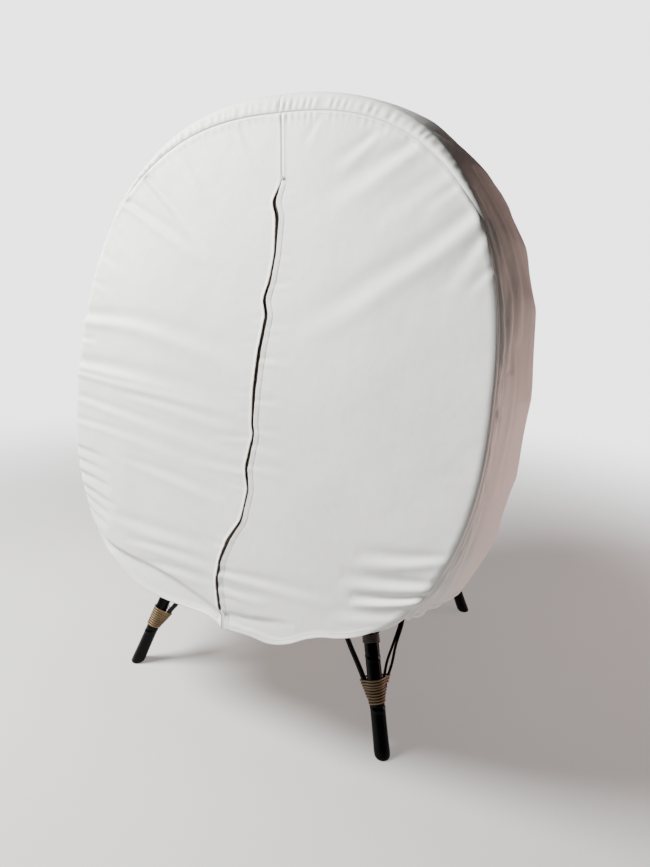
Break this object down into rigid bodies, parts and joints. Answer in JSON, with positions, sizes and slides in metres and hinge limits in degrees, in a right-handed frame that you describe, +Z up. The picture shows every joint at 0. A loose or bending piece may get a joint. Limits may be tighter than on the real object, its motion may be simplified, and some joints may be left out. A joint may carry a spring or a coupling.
{
  "type": "portable steam sauna",
  "caption": "Rattan pod on splayed legs under a white cloth cover that opens down the front, with a slatted floor, bench and steam pot inside.",
  "frame": {"origin": "on the ground, under the middle of the object", "axes": "+Z up, the cover opens towards -Y, +X is the right side seen from the front"},
  "size_m": [1.2594, 1.0372, 1.626],
  "materials": {
    "black_pole": "gloss black paint on rattan pole",
    "cane": "dark stained bent cane",
    "rattan_binding": "natural split rattan, satin",
    "dark_binding": "brown stained split rattan",
    "cover_cloth": "white coated cloth, soft satin",
    "slat_wood": "oiled",
    "cushion_cloth": "woven cotton",
    "appliance_white": "moulded, satin",
    "steel": "brushed",
    "dark_plastic": "fine moulded grain",
    "zip_metal": "nickel plated"
  },
  "bodies": {
    "frame": {"arch_middle": "black_pole", "back_panel": "cover_cloth", "bow_horizontal": "cane", "bow_vertical": "cane", "brace_back": "cane", "brace_front": "cane", "brace_left": "cane", "brace_right": "cane", "cross_rail_back": "black_pole", "cross_rail_front": "black_pole", "floor_joist_left": "black_pole", "floor_joist_right": "black_pole", "floor_slat_1": "slat_wood", "floor_slat_2": "slat_wood", "floor_slat_3": "slat_wood", "floor_slat_4": "slat_wood", "floor_slat_5": "slat_wood", "front_panel_left": "cover_cloth", "front_panel_right": "cover_cloth", "hoop_back": "black_pole", "hoop_front": "black_pole", "lashing_back_left": "rattan_binding", "lashing_back_right": "rattan_binding", "lashing_front_left": "rattan_binding", "lashing_front_right": "rattan_binding", "leg_back_left": "black_pole", "leg_back_right": "black_pole", "leg_front_left": "black_pole", "leg_front_right": "black_pole", "power_inlet": "dark_plastic", "rail_lashing_back_left": "dark_binding", "rail_lashing_back_right": "dark_binding", "rail_lashing_front_left": "dark_binding", "rail_lashing_front_right": "dark_binding", "seat_cushion": "cushion_cloth", "seat_end_left": "slat_wood", "seat_end_right": "slat_wood", "seat_slat_1": "slat_wood", "seat_slat_2": "slat_wood", "seat_slat_3": "slat_wood", "side_panel_left": "cover_cloth", "side_panel_right": "cover_cloth", "side_rail_left": "black_pole", "side_rail_right": "black_pole", "steamer_base": "appliance_white", "steamer_pot": "steel", "stringer_lower_left": "black_pole", "stringer_lower_right": "black_pole", "stringer_ridge": "black_pole", "stringer_side_left": "black_pole", "stringer_side_right": "black_pole", "stringer_upper_left": "black_pole", "stringer_upper_right": "black_pole"},
    "flap_left": {"door_flap_left": "cover_cloth"},
    "flap_right": {"door_flap_right": "cover_cloth"},
    "zip_slider": {"zip_slider": "zip_metal"},
    "steamer_lid": {"steamer_lid": "steel", "lid_knob": "dark_plastic"},
    "dial": {"steamer_dial": "dark_plastic"},
    "power_button": {"steamer_button": "dark_plastic"}
  },
  "joints": [
    {"name": "flap_left_fold", "type": "hinge", "parent": "frame", "child": "flap_left", "pos_m": [-0.2225, -0.4064, 0.9161], "axis": [-0.4126, -0.1582, -0.8971], "range_deg": [0, 115]},
    {"name": "flap_right_fold", "type": "hinge", "parent": "frame", "child": "flap_right", "pos_m": [0.2225, -0.4064, 0.9161], "axis": [-0.4126, 0.1582, 0.8971], "range_deg": [0, 115]},
    {"name": "zip_slide", "type": "slide", "parent": "flap_right", "child": "zip_slider", "axis": [0, 0.1736, 0.9848], "range_m": [0, 1.05]},
    {"name": "lid_lift", "type": "slide", "parent": "frame", "child": "steamer_lid", "axis": [0, 0, 1], "range_m": [0, 0.035]},
    {"name": "dial_turn", "type": "hinge", "parent": "frame", "child": "dial", "pos_m": [0.045, -0.047, 0.4035], "axis": [0, -1, 0], "range_deg": [0, 270]},
    {"name": "button_press", "type": "slide", "parent": "frame", "child": "power_button", "axis": [0, 1, 0], "range_m": [0, 0.002], "stiffness_N_per_m": 300}
  ]
}
